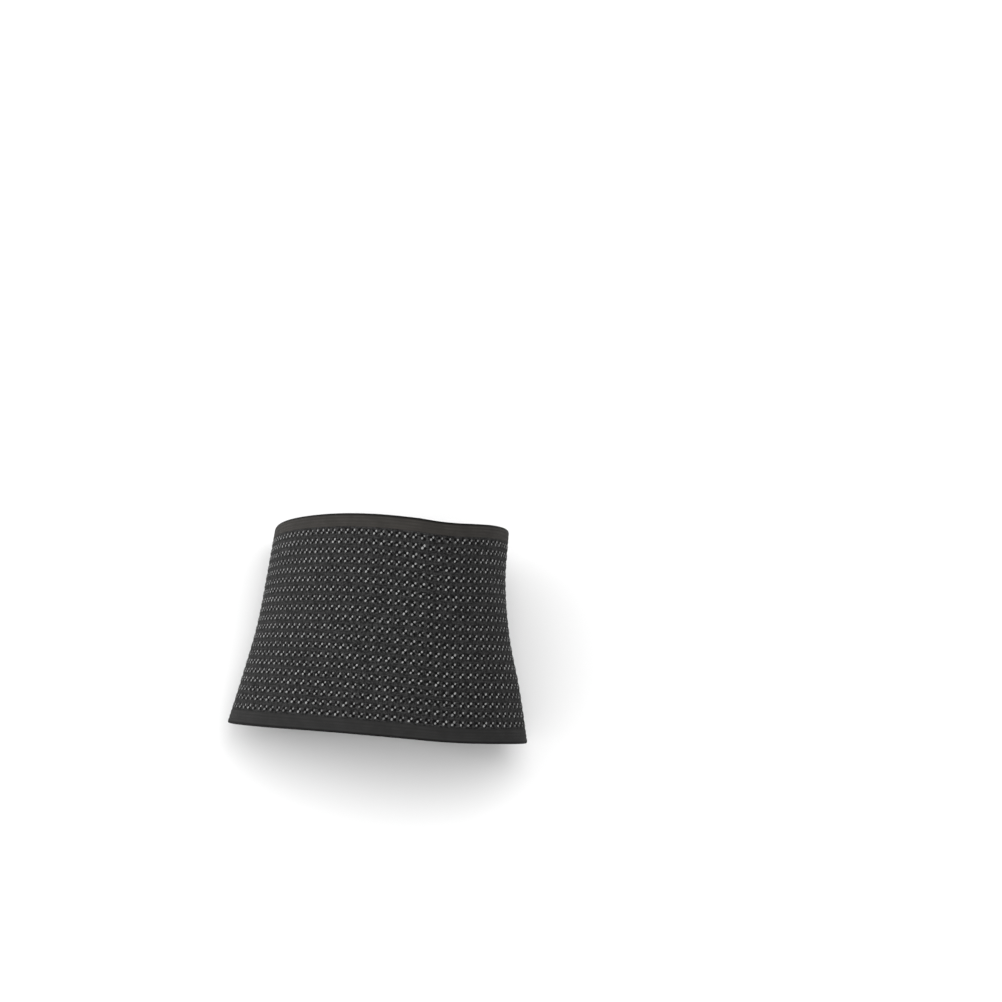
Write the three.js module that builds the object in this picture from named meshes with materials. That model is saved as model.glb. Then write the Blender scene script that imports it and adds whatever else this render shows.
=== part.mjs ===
// Arch support sleeve: a ribbed elastic knit band, worn round the middle of a foot.
// It is stretched from the ball of the foot up to the instep, so it is low and wide at the toe edge,
// tall and narrow at the ankle edge, and lifts off the ground under the arch.
// Millimetres, +Z up. -Y points to the toes and +X to the big-toe side of a right foot.
// The origin is on the inner face of the sole, under the middle of the arch, where the foot stands.

import * as THREE from "three";
import { LoftGeometry } from "three/addons/geometries/LoftGeometry.js";

// The knit
const SLEEVE_LENGTH = 69; // from edge to edge, along the top of the foot
const WALL = 1.2; // thickness between the ribs
const RIB_COUNT = 20; // rows of raised stitches round the foot
const RIB_HEIGHT = 0.2;
const RIB_SHARE = 0.55; // raised share of the pitch of the ribs

// The two hems, plain bands of firm cords
const HEM_WIDTH = { ankle: 4.2, toe: 4.6 };
const HEM_CORDS = 3;
const HEM_CORD_HEIGHT = 0.12;
const HEM_CORD_SHARE = 0.6; // raised share of the pitch of the cords
const RIM_ROUND = 0.3; // how far back from the edge the rim starts to round over
const SEAM_GAP = 0.3; // between a hem and the body

// How finely the wall is cut
const AROUND = 60; // steps round the foot
const LINING_STEPS = 8; // steps along the smooth inner face of the body
const QUARTER_STEPS = 24; // points on each quarter of a section's outline

// The inner face, which is the foot's own shape with the hollows bridged by the tight knit.
// One row is one section, from the ankle edge (along 0) to the toe edge (along 1), evenly spaced.
// sole and crown are the lowest and the highest point of a section, which leans from soleY to crownY.
// lateral is the little-toe side and medial the big-toe side, each at the section's widest point.
// bend is 1 where a section is flat, and more where it curves forwards near the crown.
// power is the squareness of the sole: 2 is a plain ellipse, and more is flatter with a tighter turn.
// wave is the height of the slight S in which the rows of stitches run over the instep, back on the
// lateral side of the crown and forwards on the medial.
const COLUMNS = [
  "soleX", "soleY", "crownX", "crownY", "crownZ",
  "lateralX", "lateralZ", "medialX", "medialZ", "bend", "power", "wave",
];
const SECTIONS = [
  [-12, 27.7, 11.0, 16.3, 66.5, -37.6, 11.9, 37.0, 36, 1.6, 2.1, 0.63],
  [-10, 12.3, 11.8, 0.2, 60.4, -38.9, 11.0, 37.1, 33, 1.4, 2.2, 0.54],
  [-7, -3.7, 12.6, -16.0, 54.3, -40.5, 10.5, 39.6, 29, 1.2, 2.4, 0.45],
  [-3, -19.6, 13.3, -32.2, 48.3, -43.5, 10.0, 44.0, 24, 1.1, 2.7, 0.35],
  [0, -35.8, 14.0, -48.4, 42.5, -47.0, 9.5, 47.7, 19, 1.0, 3.0, 0.26],
];
const CROWN_POWER = { lateral: 1.8, medial: 1.95 }; // squareness of the instep, the same in every section
const WAVE_TURNS = 0.71; // of the wave, from the crown to either side

// A smooth curve through four evenly spaced values, at share f of the way from b to c.
function smooth(a, b, c, d, f) {
  const cubic = -a + 3 * b - 3 * c + d;
  const square = 2 * a - 5 * b + 4 * c - d;
  return b + 0.5 * f * (c - a + f * (square + f * cubic));
}

// The section at a share of the way along the sleeve, as named values.
function sectionAt(along) {
  const last = SECTIONS.length - 1;
  const row = Math.min(Math.floor(along * last), last - 1);
  const value = (r, k) => {
    if (r < 0) return 2 * SECTIONS[0][k] - SECTIONS[1][k];
    if (r > last) return 2 * SECTIONS[last][k] - SECTIONS[last - 1][k];
    return SECTIONS[r][k];
  };
  const between = COLUMNS.map((name, k) => {
    const around = [row - 1, row, row + 1, row + 2].map((r) => value(r, k));
    return [name, smooth(...around, along * last - row)];
  });
  return Object.fromEntries(between);
}

// A quarter of an outline in X and Z, between a pole (sole or crown) and a side, without its last point.
function quarter(pole, side, power, fromPole) {
  const points = [];
  for (let i = 0; i < QUARTER_STEPS; i++) {
    const turn = ((fromPole ? i : QUARTER_STEPS - i) / QUARTER_STEPS) * (Math.PI / 2);
    const outward = Math.sin(turn) ** (2 / power);
    const toPole = Math.cos(turn) ** (2 / power);
    points.push(
      new THREE.Vector2(
        THREE.MathUtils.lerp(pole.x, side.x, outward),
        THREE.MathUtils.lerp(side.y, pole.y, toPole),
      ),
    );
  }
  return points;
}

// The inner face's ring at a share of the way along: evenly spaced points, which start at the crown
// and go round by the lateral side.
function innerRing(along) {
  const s = sectionAt(along);
  const sole = new THREE.Vector2(s.soleX, 0);
  const crown = new THREE.Vector2(s.crownX, s.crownZ);
  const medial = new THREE.Vector2(s.medialX, s.medialZ);
  const lateral = new THREE.Vector2(s.lateralX, s.lateralZ);
  const outline = [
    ...quarter(crown, lateral, CROWN_POWER.lateral, true),
    ...quarter(sole, lateral, s.power, false),
    ...quarter(sole, medial, s.power, true),
    ...quarter(crown, medial, CROWN_POWER.medial, false),
  ];
  const leaning = outline.map((p) => {
    const lean = Math.max(p.y / s.crownZ, 0) ** s.bend;
    const reach = p.x < s.crownX ? s.crownX - s.lateralX : s.medialX - s.crownX;
    const turn = (2 * Math.PI * WAVE_TURNS * (p.x - s.crownX)) / reach;
    const y = THREE.MathUtils.lerp(s.soleY, s.crownY, lean) - s.wave * Math.sin(turn);
    return new THREE.Vector3(p.x, y, p.y);
  });
  const loop = new THREE.CatmullRomCurve3(leaning, true, "centripetal");
  loop.arcLengthDivisions = 8 * QUARTER_STEPS;
  return loop.getSpacedPoints(AROUND).slice(0, AROUND);
}

// A ring that stands off the inner face by a thickness, along the face's own normals.
function wallRing(along, thickness) {
  const step = 0.002;
  const here = innerRing(along);
  const before = innerRing(Math.max(along - step, 0));
  const after = innerRing(Math.min(along + step, 1));
  return here.map((point, i) => {
    const next = here[(i + 1) % AROUND];
    const previous = here[(i + AROUND - 1) % AROUND];
    const round = new THREE.Vector3().subVectors(next, previous);
    const down = new THREE.Vector3().subVectors(after[i], before[i]);
    const outward = new THREE.Vector3().crossVectors(round, down).normalize();
    return point.clone().addScaledVector(outward, thickness);
  });
}

// A closed wall round the foot, from a profile: a loop of [millimetres from the ankle edge, thickness].
function wallOf(profile) {
  const rings = profile.map(([place, thickness]) => wallRing(place / SLEEVE_LENGTH, thickness));
  return new LoftGeometry([...rings, rings[0]]);
}

// The outer side of a run of equal bars: each has two shoulders, with a groove between it and the next.
function bars(start, end, count, share, height) {
  const pitch = (end - start) / count;
  const half = (share * pitch) / 2;
  const points = [];
  for (let i = 0; i < count; i++) {
    const middle = start + (i + 0.5) * pitch;
    points.push([middle - half, WALL + height], [middle + half, WALL + height]);
    if (i < count - 1) points.push([middle + pitch / 2, WALL]);
  }
  return points;
}

// The ribbed body, between the hems.
function bodyProfile() {
  const start = HEM_WIDTH.ankle + SEAM_GAP / 2;
  const end = SLEEVE_LENGTH - HEM_WIDTH.toe - SEAM_GAP / 2;
  const lining = [];
  for (let i = 0; i <= LINING_STEPS; i++) {
    lining.push([THREE.MathUtils.lerp(end, start, i / LINING_STEPS), 0]);
  }
  return [[start, WALL], ...bars(start, end, RIB_COUNT, RIB_SHARE, RIB_HEIGHT), [end, WALL], ...lining];
}

// A hem as it lies at the ankle edge: cords on the outside and a rounded rim.
function hemProfile(width) {
  const end = width - SEAM_GAP / 2;
  return [
    [0, RIM_ROUND],
    [0, WALL - RIM_ROUND],
    [RIM_ROUND, WALL],
    ...bars(RIM_ROUND, end, HEM_CORDS, HEM_CORD_SHARE, HEM_CORD_HEIGHT),
    [end, WALL],
    [end, 0],
    [RIM_ROUND, 0],
  ];
}

// The same profile at the other edge of the sleeve.
function atToeEdge(profile) {
  return profile.map(([place, thickness]) => [SLEEVE_LENGTH - place, thickness]).reverse();
}

const knit = new THREE.MeshStandardMaterial({ color: "#2b2b2c", roughness: 0.9, metalness: 0 });
const hemCord = new THREE.MeshStandardMaterial({ color: "#333334", roughness: 0.85, metalness: 0 });

function piece(name, profile, material) {
  const mesh = new THREE.Mesh(wallOf(profile), material);
  mesh.name = name;
  return mesh;
}

const sleeve = new THREE.Group();
sleeve.name = "arch_support_sleeve";
sleeve.add(
  piece("ankle_hem", hemProfile(HEM_WIDTH.ankle), hemCord),
  piece("knit_body", bodyProfile(), knit),
  piece("toe_hem", atToeEdge(hemProfile(HEM_WIDTH.toe)), hemCord),
);

export default sleeve;
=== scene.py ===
import math

import bpy
import numpy as np
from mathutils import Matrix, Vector


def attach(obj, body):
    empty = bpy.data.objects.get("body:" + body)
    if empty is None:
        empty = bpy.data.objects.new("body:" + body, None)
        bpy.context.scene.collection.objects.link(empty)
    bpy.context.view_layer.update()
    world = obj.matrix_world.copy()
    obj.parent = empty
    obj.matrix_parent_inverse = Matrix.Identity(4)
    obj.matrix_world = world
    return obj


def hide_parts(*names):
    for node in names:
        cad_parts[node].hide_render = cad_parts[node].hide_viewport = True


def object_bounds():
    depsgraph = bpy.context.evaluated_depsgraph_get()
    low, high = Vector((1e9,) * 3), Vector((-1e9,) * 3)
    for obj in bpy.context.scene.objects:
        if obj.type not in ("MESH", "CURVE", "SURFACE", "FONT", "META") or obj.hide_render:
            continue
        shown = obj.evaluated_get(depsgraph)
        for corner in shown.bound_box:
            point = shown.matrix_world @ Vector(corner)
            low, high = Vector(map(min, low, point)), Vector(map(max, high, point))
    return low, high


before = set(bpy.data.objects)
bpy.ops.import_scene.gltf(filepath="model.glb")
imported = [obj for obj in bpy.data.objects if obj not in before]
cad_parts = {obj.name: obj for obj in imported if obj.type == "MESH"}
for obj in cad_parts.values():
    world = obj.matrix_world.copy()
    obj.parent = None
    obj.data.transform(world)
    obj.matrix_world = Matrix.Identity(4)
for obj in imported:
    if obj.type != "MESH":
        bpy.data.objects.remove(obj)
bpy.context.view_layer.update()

MM = 0.001

# The sleeve, in millimetres
SLEEVE_LENGTH = 69.0  # from edge to edge, along the crown
WALL = 1.2
RIB_COUNT = 20
RIB_HEIGHT = 0.12  # with the light stitches on it, a rib is as high as the part's own
RIB_CROWN = 1.25  # over 1, the round profile of a rib or cord is cut flat on top
RIB_FULLNESS = 0.9  # under 1, its flanks are fuller
HEM_WIDTH = {"ankle": 4.2, "toe": 4.6}
HEM_CORDS = 3
HEM_CORD_HEIGHT = 0.12
RIM_ROUND = 0.3
SEAM_LAP = 0.25  # how far a hem reaches into the body's wall
BODY_START = HEM_WIDTH["ankle"]
RIB_PITCH = (SLEEVE_LENGTH - HEM_WIDTH["ankle"] - HEM_WIDTH["toe"]) / RIB_COUNT

# The inner face of the worn sleeve, one row for each section from the ankle edge to the toe edge.
# sole and crown are the lowest and the highest point of a section, lateral and medial its widest points.
# bend is how it curves forwards near the crown, power the squareness of its sole, and wave the height
# of the slight S in which the rows of stitches run.
COLUMNS = (
    "sole_x", "sole_y", "crown_x", "crown_y", "crown_z",
    "lateral_x", "lateral_z", "medial_x", "medial_z", "bend", "power", "wave",
)
SECTIONS = np.array(
    [
        [-12, 27.7, 11.0, 16.3, 66.5, -37.6, 11.9, 37.0, 36, 1.6, 2.1, 0.63],
        [-10, 12.3, 11.8, 0.2, 60.4, -38.9, 11.0, 37.1, 33, 1.4, 2.2, 0.54],
        [-7, -3.7, 12.6, -16.0, 54.3, -40.5, 10.5, 39.6, 29, 1.2, 2.4, 0.45],
        [-3, -19.6, 13.3, -32.2, 48.3, -43.5, 10.0, 44.0, 24, 1.1, 2.7, 0.35],
        [0, -35.8, 14.0, -48.4, 42.5, -47.0, 9.5, 47.7, 19, 1.0, 3.0, 0.26],
    ]
)
CROWN_POWER = {"lateral": 1.8, "medial": 1.95}  # squareness of the instep
WAVE_TURNS = 0.71  # of the wave, from the crown to either side

# One repeat of the pattern, in millimetres: two light stitches on one diagonal, two pits on the other
REPEATS = 87  # round the sleeve
REPEAT_WIDTH = 2.6  # on the worn sleeve, on average
STITCH_OFFSET = (0.15, 0.138)  # from a repeat's middle, in shares of its width and height
PIT_DEPTH = 0.45
PIT_RADIUS = 0.3
# The black of a pit is painted shade in its dimple; these say where it fades
PIT_PAINTED_SHADE = (0.22, 0.68)  # from a pit's middle: where its black starts to fade, and where it ends

# A light stitch, in millimetres
FLOAT_HALF = (0.32, 0.43)  # half its width and half its length
FLOAT_HEIGHT = 0.08
FLOAT_RINGS = (  # from the base up: shares of those sizes, out and up, and reach on its map
    (0.85, -2.5, 0.50),
    (1.00, 0.10, 0.42),
    (0.66, 0.78, 0.26),
)
FLOAT_SIZE = {1: 1.04, -1: 0.97}  # the stitch of a pair nearer the toe edge is the larger one
FLOAT_TURN = 0.55  # radians from the way along, towards the other stitch of its pair
FLOAT_SEED = 7
PLACE_SPREAD = 0.03  # along a row, in repeats
SIZE_SPREAD = 0.085
SIZE_LIMITS = (0.7, 1.2)
TURN_SPREAD = 0.22  # radians

# How finely the pieces are cut
QUARTER_STEPS = 200  # on each quarter of a section's outline
SLOPE_STEP = 0.002  # to either side of a point, as a share of the way along or round
COLUMNS_A_REPEAT = 6
ROWS_A_RIB = 8
LINING_ROWS = 40
HEM_COLUMNS_A_REPEAT = 4
ROWS_A_CORD = 8
RIM_ROWS = 4
HEM_LINING_POINTS = 8
FLOAT_SIDES = 8

# Strips of the map for baking: where each starts, and how much of the map it takes
OUTSIDE_STRIP = (0.32, 0.67)
TOE_END_STRIP = (0.30, 0.012)
LINING_STRIP = (0.02, 0.26)
ANKLE_END_STRIP = (0.005, 0.012)
HEM_STRIP = (0.01, 0.98)
FLOAT_STRIP = (0.04, 0.92)  # of a stitch's own square
FLOAT_BASE_STRIP = (0.01, 0.09)

# Tones in linear grey, where a pair is the darkest and the lightest of a varied yarn
KNIT_TONES = (0.009, 0.058)
# painted shade: darker tones for the gaps between the loops
KNIT_GAP_SHADE_TONES = (0.005, 0.022)
STREAK_TONES = (0.010, 0.047)
# painted shade: near black, for the shade inside a pit
PIT_PAINTED_SHADE_TONE = 0.0015
LINING_TONES = (0.020, 0.042)
# painted shade in the lining's gaps between its loops
LINING_GAP_SHADE_TONE = 0.010
FLOAT_TONES = (0.13, 0.29)
# painted shade: the tone at a stitch's edge, where it goes down into the knit
FLOAT_SINK_SHADE_TONE = 0.09
HEM_TONES = (0.036, 0.050)
# painted shade in the hem's gaps between its stitches
HEM_GAP_SHADE_TONE = 0.026
# painted shade: the dark line along a hem's turned edge
HEM_RIM_SHADE_TONE = 0.006
# The toe hem's lower share than the ankle hem's is painted shade: both hems are the same yarn
HEM_SHARE_SHADE_AND_WARMTH = {"ankle": (0.88, 0.08), "toe": (0.60, 0.01)}  # a hem's share of its tones, and its warmth

# Patterns of the yarn
KNIT_STITCHES = (3, 4)  # wales and courses in a repeat
HEM_STITCHES = (4, 1)  # wales in a repeat, and courses in a millimetre
STITCH_SLANT = 1.3  # slope of a stitch's legs, in courses to a wale
LEG_MIDDLE = 0.25  # of a leg, from the middle of its wale, in wales
LOOP_EDGE = (0.1, 0.5)  # from a course's middle, in courses: where a loop starts to fall, and its end
LOOP_DIP = 0.25  # share of a loop's height at its end
PATCH_SCALE = {"knit": 1600, "lining": 900, "hem": 260, "float": 450}  # patches in a metre
PATCH_RANGE = (0.36, 0.64)  # values of the noise that give the darkest and the lightest tone
KNIT_PATCH_RANGE = (0.38, 0.62)
STREAK_SCALE = (0.65, 6.0)  # streaks in a repeat, round and along
STREAK_BAND = (0.27, 0.42)  # from a row's middle, in rows: where streaks start, and where they are full
STREAK_SHARE = 0.75
# Painted shade on a stitch's edge: where it starts, and where it is full
FLOAT_SINK_SHADE = (0.2, 0.5)  # from a stitch's middle on its map: where it starts to sink, and its edge
# The hem's painted shade line fades out over these millimetres
HEM_RIM_SHADE = (0.5, 1.2)  # millimetres from the edge: where its dark starts to fade, and where it ends
PLY_TURN = 26.0  # radians of the yarn's twist to a step of a stitch's map
PLY_SHARE = 0.5

# Relief of the yarn: fibres in a metre, their share of the height, depth in metres and strength
KNIT_RELIEF = {"fibres": 5000, "share": 0.35, "depth": 0.00018, "strength": 0.7}
HEM_RELIEF = {"fibres": 5000, "share": 0.4, "depth": 0.00012, "strength": 0.6}
FLOAT_RELIEF = {"fibres": 6000, "share": 0.5, "depth": 0.00008, "strength": 0.6}
SPECULAR_LEVEL = 0.1
SHEEN_ROUGHNESS = 0.5

# The studio, in metres and watts
FLOOR_HALF = 3.0
FLOOR_TONE = 0.8
FLOOR_ROUGHNESS = 0.9
LIGHT_TARGET = (0, 0, 0.03)
LIGHTS = {
    "key": {"place": (0.3, 0.1, 1.12), "size": 1.0, "watts": 8},
    "side": {"place": (-1.0, 0.1, 0.1), "size": 0.6, "watts": 5},
}
SKY_WAY = (-0.85, -0.15, 0.45)  # towards the brightest part of the sky
SKY_STRENGTH = (0.0, 1.5)  # opposite that part, and in it

# The camera, in metres and degrees, with the photograph's frame in pixels
VIEW_AZIMUTH = 4.2
VIEW_ELEVATION = 71
VIEW_DISTANCE = 1.0
VIEW_CENTRE = (0, -0.008, 0.028)  # of the sleeve
VIEW_OFFSET = (0.038, 0.040)  # of the camera from that centre, to the right and up
FOCAL_PX = 3120
FRAME_PX = 1002
SENSOR_MM = 36
CLIP_START = 0.01


# The worn shape

def section_at(along):
    """The section at a share of the way along, as named values on a smooth curve through the rows."""
    last = len(SECTIONS) - 1
    before = 2 * SECTIONS[0] - SECTIONS[1]
    after = 2 * SECTIONS[-1] - SECTIONS[-2]
    rows = np.vstack([before, SECTIONS, after])
    row = min(int(along * last), last - 1)
    share = along * last - row
    a, b, c, d = rows[row : row + 4]
    cubic = -a + 3 * b - 3 * c + d
    square = 2 * a - 5 * b + 4 * c - d
    values = b + 0.5 * share * (c - a + share * (square + share * cubic))
    return dict(zip(COLUMNS, values))


def quarter(pole, side, power, from_pole):
    """A quarter of an outline in X and Z, between a pole and a side, without its last point."""
    turn = np.linspace(0, math.pi / 2, QUARTER_STEPS, endpoint=False)
    if not from_pole:
        turn = math.pi / 2 - turn
    outward = np.sin(turn) ** (2 / power)
    to_pole = np.cos(turn) ** (2 / power)
    x = pole[0] + (side[0] - pole[0]) * outward
    z = side[1] + (pole[1] - side[1]) * to_pole
    return np.stack([x, z], axis=1)


def inner_ring(along, shares):
    """Points of the inner face, at shares of the way round from the crown by the lateral side."""
    s = section_at(along)
    sole = (s["sole_x"], 0.0)
    crown = (s["crown_x"], s["crown_z"])
    medial = (s["medial_x"], s["medial_z"])
    lateral = (s["lateral_x"], s["lateral_z"])
    outline = np.vstack(
        [
            quarter(crown, lateral, CROWN_POWER["lateral"], True),
            quarter(sole, lateral, s["power"], False),
            quarter(sole, medial, s["power"], True),
            quarter(crown, medial, CROWN_POWER["medial"], False),
            [crown],
        ]
    )
    x, z = outline.T
    lean = np.maximum(z / s["crown_z"], 0) ** s["bend"]
    reach = np.where(x < s["crown_x"], s["crown_x"] - s["lateral_x"], s["medial_x"] - s["crown_x"])
    wave = s["wave"] * np.sin(2 * math.pi * WAVE_TURNS * (x - s["crown_x"]) / reach)
    y = s["sole_y"] + (s["crown_y"] - s["sole_y"]) * lean - wave
    points = np.stack([x, y, z], axis=1)
    lengths = np.linalg.norm(np.diff(points, axis=0), axis=1)
    gone = np.concatenate([[0], np.cumsum(lengths)])
    at = (shares % 1.0) * gone[-1]
    return np.stack([np.interp(at, gone, points[:, axis]) for axis in range(3)], axis=1)


def shares_round(columns):
    """Even shares of the way round, one at each edge of the columns, from under the sole."""
    return 0.5 + np.arange(columns + 1) / columns


def unit(vectors):
    return vectors / np.linalg.norm(vectors, axis=-1, keepdims=True)


def skin(place, shares):
    """Points of the inner face at a place in millimetres from the ankle edge, with the outward normal,
    the way round and the way along at each."""
    along = place / SLEEVE_LENGTH
    points = inner_ring(along, shares)
    round_way = inner_ring(along, shares + SLOPE_STEP) - inner_ring(along, shares - SLOPE_STEP)
    before = inner_ring(max(along - SLOPE_STEP, 0), shares)
    after = inner_ring(min(along + SLOPE_STEP, 1), shares)
    down_way = after - before
    outward = unit(np.cross(round_way, down_way))
    return points, outward, unit(round_way), unit(down_way)


def wall_rows(places, heights, shares):
    """Rows of points that stand off the inner face: places and heights have one entry a row."""
    rows = []
    for place, height in zip(places, heights):
        points, outward, _, _ = skin(place, shares)
        rows.append(points + outward * np.reshape(height, (-1, 1)))
    return np.stack(rows)


# Meshes from rows of points

def grid_faces(rows, columns, start=0):
    """Quads between rows of points that close on themselves, and each quad's row and column."""
    row, column = np.meshgrid(np.arange(rows - 1), np.arange(columns), indexing="ij")
    row, column = row.ravel(), column.ravel()
    beside = (column + 1) % columns
    here = start + row * columns
    after = here + columns
    quads = np.stack([here + column, here + beside, after + beside, after + column], axis=1)
    return quads, row, column


def grid_uv(row, column, across, along):
    """The corners' places on a map, from the values at each column edge and each row."""
    u = np.stack([across[column], across[column + 1], across[column + 1], across[column]], axis=1)
    v = np.stack([along[row], along[row], along[row + 1], along[row + 1]], axis=1)
    return np.stack([u, v], axis=2)


def on_strip(strip, shares):
    """Places on the map for baking, from shares of a strip."""
    start, size = strip
    return start + size * shares


def new_piece(name, points, faces, maps, materials, slots=None):
    """A smooth mesh object, from points in millimetres. faces is a list of arrays, and maps holds a list
    of the corners' places to match it, for each UV map."""
    mesh = bpy.data.meshes.new(name)
    mesh.from_pydata((points * MM).tolist(), [], [face for part in faces for face in part.tolist()])
    for map_name, parts in maps.items():
        layer = mesh.uv_layers.new(name=map_name)
        corners = np.concatenate([np.reshape(part, (-1, 2)) for part in parts])
        layer.uv.foreach_set("vector", corners.astype(np.float32).ravel())
    for material in materials:
        mesh.materials.append(material)
    if slots is not None:
        mesh.polygons.foreach_set("material_index", np.asarray(slots, np.int32))
    mesh.shade_smooth()
    mesh.update()
    made = bpy.data.objects.new(name, mesh)
    bpy.context.scene.collection.objects.link(made)
    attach(made, "root")
    return made


# Materials

class Shader:
    """A material's node tree, with short calls for what these fabrics need."""

    def __init__(self, name, roughness, sheen):
        self.material = bpy.data.materials.new(name)
        self.material.use_nodes = True
        self.tree = self.material.node_tree
        self.out = self.tree.nodes["Principled BSDF"]
        self.out.inputs["Roughness"].default_value = roughness
        self.out.inputs["Specular IOR Level"].default_value = SPECULAR_LEVEL
        self.out.inputs["Sheen Weight"].default_value = sheen
        self.out.inputs["Sheen Roughness"].default_value = SHEEN_ROUGHNESS

    def node(self, kind, **settings):
        made = self.tree.nodes.new(kind)
        for key, value in settings.items():
            setattr(made, key, value)
        return made

    def put(self, socket, value):
        if isinstance(value, bpy.types.NodeSocket):
            self.tree.links.new(value, socket)
        else:
            socket.default_value = value

    def math(self, operation, *values):
        made = self.node("ShaderNodeMath", operation=operation)
        for socket, value in zip(made.inputs, values):
            self.put(socket, value)
        return made.outputs[0]

    def uv(self, map_name):
        made = self.node("ShaderNodeSeparateXYZ")
        self.put(made.inputs[0], self.node("ShaderNodeUVMap", uv_map=map_name).outputs[0])
        return made.outputs[0], made.outputs[1]

    def noise(self, scale, detail=2.0, vector=None):
        """Noise over a vector, or else over the object's own metres."""
        made = self.node("ShaderNodeTexNoise")
        if vector is None:
            vector = self.node("ShaderNodeTexCoord").outputs["Object"]
        self.put(made.inputs["Vector"], vector)
        made.inputs["Scale"].default_value = scale
        made.inputs["Detail"].default_value = detail
        return made.outputs[0]

    def spread(self, u, v, scale):
        """A place on a map, scaled each way."""
        made = self.node("ShaderNodeCombineXYZ")
        self.put(made.inputs[0], self.math("MULTIPLY", u, scale[0]))
        self.put(made.inputs[1], self.math("MULTIPLY", v, scale[1]))
        return made.outputs[0]

    def ramp(self, value, low, high, to_low=0.0, to_high=1.0):
        made = self.node("ShaderNodeMapRange", interpolation_type="SMOOTHSTEP")
        for socket, setting in zip(made.inputs, (value, low, high, to_low, to_high)):
            self.put(socket, setting)
        return made.outputs[0]

    def mix(self, share, first, second):
        """A mix of two colours, which are inputs 6 and 7 of the node, and its output 2."""
        made = self.node("ShaderNodeMix", data_type="RGBA")
        self.put(made.inputs[0], share)
        self.put(made.inputs[6], first)
        self.put(made.inputs[7], second)
        return made.outputs[2]

    def apart(self, value, middle):
        """How far a value is from a middle one."""
        return self.math("ABSOLUTE", self.math("SUBTRACT", value, middle))

    def away(self, u, v, middle, scale):
        """Distance on a map from a middle point, in the scaled units of the map."""
        du = self.math("MULTIPLY", self.math("SUBTRACT", u, middle[0]), scale[0])
        dv = self.math("MULTIPLY", self.math("SUBTRACT", v, middle[1]), scale[1])
        squares = self.math("ADD", self.math("MULTIPLY", du, du), self.math("MULTIPLY", dv, dv))
        return self.math("SQRT", squares)

    def stitches(self, u, v, wales, courses):
        """Height of a plain knit of V-shaped stitches, so many wales and courses to a step of the map."""
        across = self.apart(self.math("FRACT", self.math("MULTIPLY", u, wales)), 0.5)
        rise = self.math("MULTIPLY", across, STITCH_SLANT)
        course = self.math("FRACT", self.math("ADD", self.math("MULTIPLY", v, courses), rise))
        leg = self.ramp(self.apart(across, LEG_MIDDLE), 0.0, LEG_MIDDLE, 1.0, 0.0)
        loop = self.ramp(self.apart(course, 0.5), *LOOP_EDGE, 1.0, LOOP_DIP)
        return self.math("MULTIPLY", leg, loop)

    def relief(self, height, fibres, share, depth, strength):
        """Bump from a height with fine fibres on it."""
        fuzz = self.math("MULTIPLY", self.noise(fibres, detail=3), share)
        made = self.node("ShaderNodeBump")
        made.inputs["Strength"].default_value = strength
        made.inputs["Distance"].default_value = depth
        self.put(made.inputs["Height"], self.math("ADD", height, fuzz))
        self.put(self.out.inputs["Normal"], made.outputs[0])

    def colour(self, value):
        self.put(self.out.inputs["Base Color"], value)


def grey(value, warm=0.0):
    return (value * (1 + warm), value, value * (1 - warm), 1.0)


def knit_material():
    """Dark elastic knit with painted black shade in the pits beside the light stitches, painted shade in
    the gaps between its loops, and streaks between the rows.
    """
    s = Shader("dark_knit", roughness=0.9, sheen=0.01)
    u, v = s.uv("knit")
    cell_u = s.math("FRACT", u)
    cell_v = s.math("FRACT", v)
    from_pits = []
    for side in (1, -1):
        middle = (0.5 + side * STITCH_OFFSET[0], 0.5 - side * STITCH_OFFSET[1])
        from_pits.append(s.away(cell_u, cell_v, middle, (REPEAT_WIDTH, RIB_PITCH)))
    # The pits' dimples are painted near black, as their shade
    pit_shade_mask = s.ramp(s.math("MINIMUM", *from_pits), *PIT_PAINTED_SHADE, 1.0, 0.0)
    stitch = s.stitches(u, v, *KNIT_STITCHES)
    patch = s.ramp(s.noise(PATCH_SCALE["knit"]), *KNIT_PATCH_RANGE)
    streak = s.ramp(s.noise(1.0, vector=s.spread(u, v, STREAK_SCALE)), *PATCH_RANGE)
    between = s.ramp(s.apart(cell_v, 0.5), *STREAK_BAND, 0.0, STREAK_SHARE)
    ground = s.mix(patch, *map(grey, KNIT_TONES))
    yarn = s.mix(between, ground, s.mix(streak, *map(grey, STREAK_TONES)))
    # The gaps between the loops are painted darker, as their shade
    loops = s.mix(stitch, s.mix(patch, *map(grey, KNIT_GAP_SHADE_TONES)), yarn)
    s.colour(s.mix(pit_shade_mask, loops, grey(PIT_PAINTED_SHADE_TONE)))
    s.relief(stitch, **KNIT_RELIEF)
    return s.material


def lining_material():
    """The inner side of the knit: plain dark stitches, with painted shade in the gaps between them."""
    s = Shader("knit_lining", roughness=0.92, sheen=0.05)
    u, v = s.uv("knit")
    stitch = s.stitches(u, v, *KNIT_STITCHES)
    patch = s.ramp(s.noise(PATCH_SCALE["lining"], detail=3), *PATCH_RANGE)
    yarn = s.mix(patch, *map(grey, LINING_TONES))
    # Painted shade in the gaps between the loops
    s.colour(s.mix(stitch, grey(LINING_GAP_SHADE_TONE), yarn))
    s.relief(stitch, **KNIT_RELIEF)
    return s.material


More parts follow.
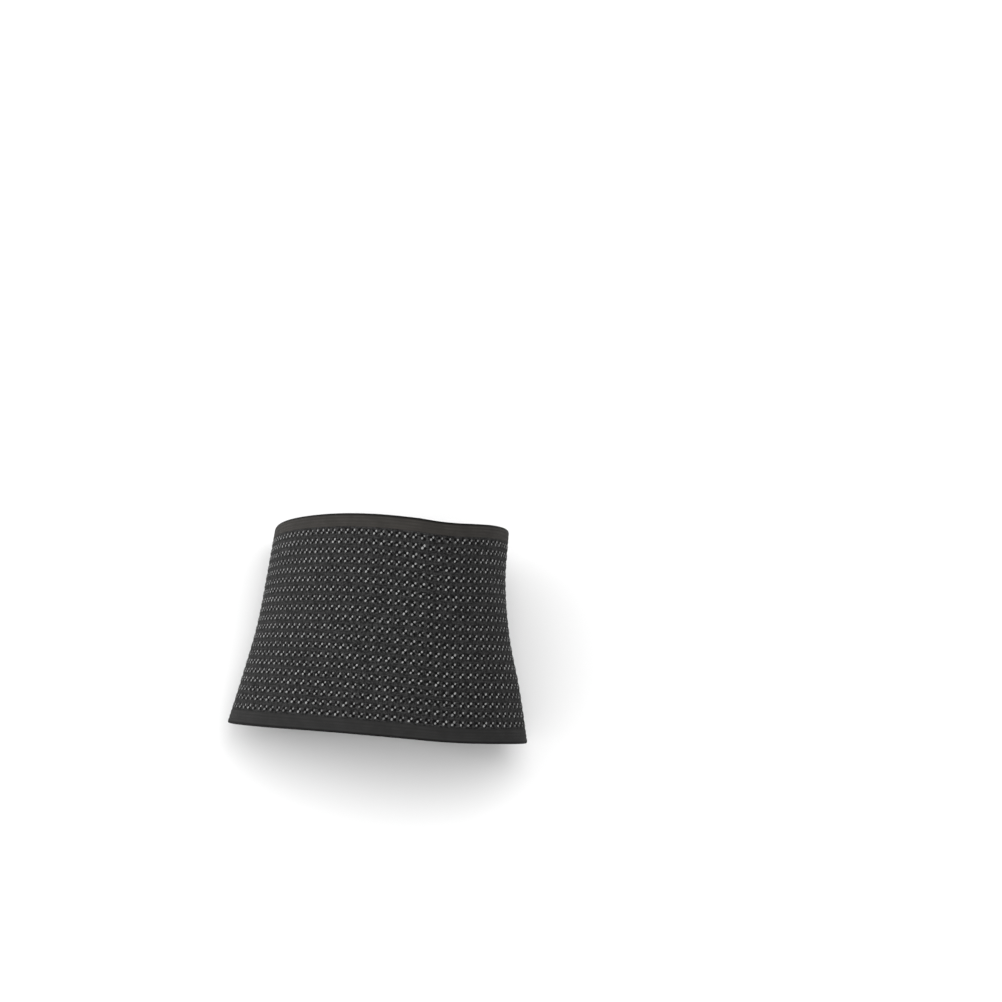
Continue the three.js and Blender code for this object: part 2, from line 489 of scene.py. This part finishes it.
def float_material():
    """Light grey yarn, with painted shade where a stitch goes down into the knit."""
    s = Shader("light_yarn", roughness=0.8, sheen=0.04)
    u, v = s.uv("stitch")
    # Painted shade, darkest at the stitch's edge where it goes down into the knit
    sink_shade = s.ramp(s.away(u, v, (0.5, 0.5), (1, 1)), *FLOAT_SINK_SHADE)
    patch = s.ramp(s.noise(PATCH_SCALE["float"]), *PATCH_RANGE)
    yarn = s.mix(patch, *map(grey, FLOAT_TONES))
    s.colour(s.mix(sink_shade, yarn, grey(FLOAT_SINK_SHADE_TONE)))
    ply = s.math("SINE", s.math("MULTIPLY", s.math("ADD", u, v), PLY_TURN))
    s.relief(s.math("MULTIPLY", ply, PLY_SHARE), **FLOAT_RELIEF)
    return s.material


def hem_material(name, tone_with_painted_shade, warm):
    """Close dark knit with fine upright stitches, painted shade in the gaps between them, and a painted
    shade line along the turned edge.
    """
    s = Shader(name, roughness=0.88, sheen=0.02)
    u, v = s.uv("knit")
    stitch = s.stitches(u, v, *HEM_STITCHES)
    patch = s.ramp(s.noise(PATCH_SCALE["hem"], detail=3), *PATCH_RANGE)
    # A hem's tones scaled down; for the toe hem this is painted shade
    yarn = s.mix(patch, *(grey(shade * tone_with_painted_shade, warm) for shade in HEM_TONES))
    # Painted shade in the gaps between the hem's stitches
    loops = s.mix(stitch, grey(HEM_GAP_SHADE_TONE * tone_with_painted_shade, warm), yarn)
    # A painted shade line along the turned edge, where the rim sits in its own shade
    s.colour(s.mix(s.ramp(v, *HEM_RIM_SHADE, 1.0, 0.0), loops, grey(HEM_RIM_SHADE_TONE, warm)))
    s.relief(stitch, **HEM_RELIEF)
    return s.material


# The knit body

def rib_height(share):
    """A rib's rounded profile, over one pitch."""
    return np.clip(RIB_CROWN * np.sin(np.pi * (share % 1.0)), 0, 1) ** RIB_FULLNESS


def knit_heights(ribs, shares):
    """Height of the outer face over the inner one, row by row: the ribs, less the pits in them."""
    cell_u = (shares * REPEATS) % 1.0
    heights = []
    for rib in ribs:
        pits = 0.0
        for side in (1, -1):
            du = (cell_u - 0.5 - side * STITCH_OFFSET[0]) * REPEAT_WIDTH
            dv = (rib % 1.0 - 0.5 + side * STITCH_OFFSET[1]) * RIB_PITCH
            pits = pits + np.exp(-(du**2 + dv**2) / (2 * PIT_RADIUS**2))
        heights.append(WALL + RIB_HEIGHT * rib_height(rib) - PIT_DEPTH * pits)
    return heights


def cut_end(outer_start, lining_start, lining_columns):
    """Triangles of a cut end, where each step of the lining meets two of the outside. Each array comes with
    its corners' steps round the outside, and their levels: 1 on the outside and 0 on the lining."""
    step = np.arange(lining_columns)
    first, middle, last = (outer_start + (2 * step + more) % (2 * lining_columns) for more in range(3))
    under, next_under = (lining_start + (step + more) % lining_columns for more in range(2))
    return (
        (np.stack([first, middle, under], 1), (0, 1, 0), (1, 1, 0)),
        (np.stack([middle, next_under, under], 1), (1, 2, 0), (1, 0, 0)),
        (np.stack([middle, last, next_under], 1), (1, 2, 2), (1, 1, 0)),
    )


def knit_shell():
    """The ribbed wall, with a finer grid outside than on its lining."""
    columns = REPEATS * COLUMNS_A_REPEAT
    lining_columns = columns // 2
    round_outside = shares_round(columns)
    round_lining = round_outside[::2]
    outer_rows = RIB_COUNT * ROWS_A_RIB + 1
    ribs = np.linspace(0, RIB_COUNT, outer_rows)
    lining_ribs = np.linspace(RIB_COUNT, 0, LINING_ROWS + 1)
    heights = knit_heights(ribs, round_outside[:-1])
    outer = wall_rows(BODY_START + ribs * RIB_PITCH, heights, round_outside[:-1])
    lining = wall_rows(BODY_START + lining_ribs * RIB_PITCH, 0 * lining_ribs, round_lining[:-1])
    points = np.concatenate([outer.reshape(-1, 3), lining.reshape(-1, 3)])

    lining_start = outer_rows * columns
    outside, row, column = grid_faces(outer_rows, columns)
    inside, lining_row, lining_column = grid_faces(LINING_ROWS + 1, lining_columns, start=lining_start)
    faces = [outside, inside]
    knit = [
        grid_uv(row, column, round_outside * REPEATS, ribs),
        grid_uv(lining_row, lining_column, round_lining * REPEATS, lining_ribs),
    ]
    outside_v = on_strip(OUTSIDE_STRIP, ribs / RIB_COUNT)
    lining_v = on_strip(LINING_STRIP, lining_ribs / RIB_COUNT)
    bake = [
        grid_uv(row, column, round_outside - 0.5, outside_v),
        grid_uv(lining_row, lining_column, round_lining - 0.5, lining_v),
    ]

    toe_end = (RIB_COUNT, lining_start - columns, lining_start, TOE_END_STRIP)
    ankle_end = (0, 0, lining_start + LINING_ROWS * lining_columns, ANKLE_END_STRIP)
    for rib, outer_row_start, lining_row_start, strip in (toe_end, ankle_end):
        for fan, steps, levels in cut_end(outer_row_start, lining_row_start, lining_columns):
            if rib == 0:
                fan, steps, levels = fan[:, ::-1], steps[::-1], levels[::-1]
            u = (2 * np.arange(lining_columns)[:, None] + np.array(steps)) / columns
            level = np.broadcast_to(np.array(levels, float), u.shape)
            faces.append(fan)
            knit.append(np.stack([(u + 0.5) * REPEATS, np.full(u.shape, float(rib))], 2))
            bake.append(np.stack([u, on_strip(strip, level)], 2))

    slots = np.ones(sum(len(part) for part in faces))
    slots[: len(outside)] = 0
    materials = [knit_material(), lining_material()]
    made = new_piece("knit_shell", points, faces, {"knit": knit, "OFBake": bake}, materials, slots)
    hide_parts("knit_body")
    return made


# The light stitches

def float_form():
    """One stitch: its points, their places on its map, and its faces, each kind with its baking strip."""
    turns = 2 * np.pi * np.arange(FLOAT_SIDES) / FLOAT_SIDES
    shape, flat = [], []
    for reach, up, map_reach in FLOAT_RINGS:
        for turn in turns:
            shape.append((reach * np.cos(turn), reach * np.sin(turn), up))
            flat.append((0.5 + map_reach * np.cos(turn), 0.5 + map_reach * np.sin(turn)))
    tip = len(shape)
    shape.append((0, 0, 1.0))
    flat.append((0.5, 0.5))
    side = np.arange(FLOAT_SIDES)
    beside = (side + 1) % FLOAT_SIDES
    top_ring = tip - FLOAT_SIDES
    flanks, _, _ = grid_faces(len(FLOAT_RINGS), FLOAT_SIDES)
    top = np.stack([top_ring + side, top_ring + beside, np.full(FLOAT_SIDES, tip)], 1)
    base = side[::-1][None, :]
    kinds = ((flanks, FLOAT_STRIP), (top, FLOAT_STRIP), (base, FLOAT_BASE_STRIP))
    return np.array(shape), np.array(flat), kinds


def float_points(shape):
    """The points of every stitch, in its place on a rib."""
    rng = np.random.default_rng(FLOAT_SEED)
    height = WALL + RIB_HEIGHT * rib_height(0.5 + STITCH_OFFSET[1])
    stitches = []
    for rib in range(RIB_COUNT):
        for side in (1, -1):
            shares = (np.arange(REPEATS) + 0.5 + side * STITCH_OFFSET[0]) / REPEATS
            shares = shares + rng.normal(0, PLACE_SPREAD, REPEATS) / REPEATS
            place = BODY_START + (rib + 0.5 + side * STITCH_OFFSET[1]) * RIB_PITCH
            points, outward, round_way, down_way = skin(place, shares)
            base = points + outward * height
            growth = rng.normal(1.0, SIZE_SPREAD, (REPEATS, 1, 1)).clip(*SIZE_LIMITS)
            local = shape[None] * np.array([*FLOAT_HALF, FLOAT_HEIGHT]) * (FLOAT_SIZE[side] * growth)
            swing = rng.normal(FLOAT_TURN, TURN_SPREAD, (REPEATS, 1))
            x = np.cos(swing) * local[:, :, 0] + np.sin(swing) * local[:, :, 1]
            y = np.cos(swing) * local[:, :, 1] - np.sin(swing) * local[:, :, 0]
            across = x[..., None] * round_way[:, None]
            along = y[..., None] * down_way[:, None]
            stitches.append(base[:, None] + across + along + local[:, :, 2:] * outward[:, None])
    return np.concatenate(stitches)


def yarn_floats():
    """The light stitches: small rounded loops of yarn that stand on the ribs."""
    shape, flat, kinds = float_form()
    points = float_points(shape)
    count = len(points)
    start = np.arange(count)[:, None, None] * len(shape)
    squares = math.ceil(math.sqrt(count))
    corner = np.stack([np.arange(count) % squares, np.arange(count) // squares], 1)[:, None] / squares
    faces, stitch, bake = [], [], []
    for kind, strip in kinds:
        here = flat[kind].reshape(-1, 2)
        faces.append((kind[None] + start).reshape(-1, kind.shape[1]))
        stitch.append(np.broadcast_to(here, (count, *here.shape)))
        bake.append(corner + on_strip(strip, here) / squares)
    maps = {"stitch": stitch, "OFBake": bake}
    made = new_piece("yarn_floats", points.reshape(-1, 3), faces, maps, [float_material()])
    return made


# The hems

def hem_profile(width):
    """The loop of a hem's wall at the ankle edge, as millimetres from the edge and thickness. It starts on
    the edge and goes along the outside first. A tongue runs on into the body's wall, so no light shows
    between them."""
    share = np.linspace(0, 1, ROWS_A_CORD * HEM_CORDS + 1)
    cords = WALL + HEM_CORD_HEIGHT * rib_height(share * HEM_CORDS)
    turn = np.linspace(np.pi / 2, 0, RIM_ROWS, endpoint=False)
    rim = np.stack([RIM_ROUND * (1 - np.sin(turn)), WALL - RIM_ROUND * (1 - np.cos(turn))], 1)
    outside = np.stack([RIM_ROUND + share * (width - RIM_ROUND), cords], 1)
    tongue = [[width + SEAM_LAP, WALL - SEAM_LAP], [width + SEAM_LAP, SEAM_LAP]]
    inside_places = np.linspace(width, RIM_ROUND, HEM_LINING_POINTS)
    inside = np.stack([inside_places, 0 * inside_places], 1)
    inner_rim = (rim * [1, -1] + [0, WALL])[::-1]
    return np.vstack([rim, outside, tongue, inside, inner_rim])


def hem_band(edge):
    """The plain band at the ankle or the toe edge."""
    profile = hem_profile(HEM_WIDTH[edge])
    steps = np.linalg.norm(np.diff(np.vstack([profile, profile[:1]]), axis=0), axis=1)
    gone = np.concatenate([[0], np.cumsum(steps)])
    columns = REPEATS * HEM_COLUMNS_A_REPEAT
    shares = shares_round(columns)
    faces, row, column = grid_faces(len(profile) + 1, columns)
    faces = faces % (len(profile) * columns)
    knit = grid_uv(row, column, shares * REPEATS, gone)
    bake = grid_uv(row, column, shares - 0.5, on_strip(HEM_STRIP, gone / gone[-1]))
    places = profile[:, 0]
    if edge == "toe":
        places = SLEEVE_LENGTH - places
        faces, knit, bake = faces[:, ::-1], knit[:, ::-1], bake[:, ::-1]
    points = wall_rows(places, profile[:, 1], shares[:-1]).reshape(-1, 3)
    maps = {"knit": [knit], "OFBake": [bake]}
    material = hem_material(edge + "_hem_knit", *HEM_SHARE_SHADE_AND_WARMTH[edge])
    made = new_piece(edge + "_band", points, [faces], maps, [material])
    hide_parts(edge + "_hem")
    return made


# The studio

def studio_floor():
    """A pale floor, level with the lowest point of the sleeve."""
    material = bpy.data.materials.new("pale_floor")
    material.use_nodes = True
    shader = material.node_tree.nodes["Principled BSDF"]
    shader.inputs["Base Color"].default_value = grey(FLOOR_TONE)
    shader.inputs["Roughness"].default_value = FLOOR_ROUGHNESS
    mesh = bpy.data.meshes.new("floor")
    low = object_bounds()[0][2]
    signs = ((-1, -1), (1, -1), (1, 1), (-1, 1))
    mesh.from_pydata([(x * FLOOR_HALF, y * FLOOR_HALF, low) for x, y in signs], [], [(0, 1, 2, 3)])
    mesh.materials.append(material)
    made = bpy.data.objects.new("floor", mesh)
    bpy.context.scene.collection.objects.link(made)


def turn_to(made, way):
    """Turn a light or a camera to look along a way."""
    made.rotation_mode = "QUATERNION"
    made.rotation_quaternion = way.to_track_quat("-Z", "Y")


def area_light(name, place, size, watts):
    data = bpy.data.lights.new(name, "AREA")
    data.shape = "DISK"
    data.size = size
    data.energy = watts
    made = bpy.data.objects.new(name, data)
    made.location = place
    turn_to(made, Vector(LIGHT_TARGET) - Vector(place))
    bpy.context.scene.collection.objects.link(made)


def camera():
    """The photograph's view: steeply down from beyond the toe edge, with the sleeve low and to the left."""
    azimuth, elevation = math.radians(VIEW_AZIMUTH), math.radians(VIEW_ELEVATION)
    level = math.cos(elevation)
    back = Vector((math.sin(azimuth) * level, -math.cos(azimuth) * level, math.sin(elevation)))
    right = Vector((math.cos(azimuth), math.sin(azimuth), 0))
    up = back.cross(right)
    data = bpy.data.cameras.new("camera")
    data.sensor_width = SENSOR_MM
    data.lens = FOCAL_PX * SENSOR_MM / FRAME_PX
    data.clip_start = CLIP_START
    made = bpy.data.objects.new("camera", data)
    aside = right * VIEW_OFFSET[0] + up * VIEW_OFFSET[1]
    made.location = Vector(VIEW_CENTRE) + aside + back * VIEW_DISTANCE
    turn_to(made, -back)
    bpy.context.scene.collection.objects.link(made)
    bpy.context.scene.camera = made


def studio_world():
    """White light from all round, stronger from the lateral side."""
    world = bpy.data.worlds.new("studio")
    world.use_nodes = True
    nodes, links = world.node_tree.nodes, world.node_tree.links
    toward = nodes.new("ShaderNodeVectorMath")
    toward.operation = "DOT_PRODUCT"
    toward.inputs[1].default_value = SKY_WAY
    links.new(nodes.new("ShaderNodeTexCoord").outputs["Generated"], toward.inputs[0])
    strength = nodes.new("ShaderNodeMapRange")
    settings = {"From Min": -1, "From Max": 1, "To Min": SKY_STRENGTH[0], "To Max": SKY_STRENGTH[1]}
    for name, value in settings.items():
        strength.inputs[name].default_value = value
    links.new(toward.outputs["Value"], strength.inputs["Value"])
    nodes["Background"].inputs["Color"].default_value = (1, 1, 1, 1)
    links.new(strength.outputs[0], nodes["Background"].inputs["Strength"])
    bpy.context.scene.world = world


body = knit_shell()
floats = yarn_floats()
hems = [hem_band("ankle"), hem_band("toe")]

studio_floor()
studio_world()
for light_name, light in LIGHTS.items():
    area_light(light_name, **light)
bpy.context.scene.view_settings.view_transform = "Standard"
camera()
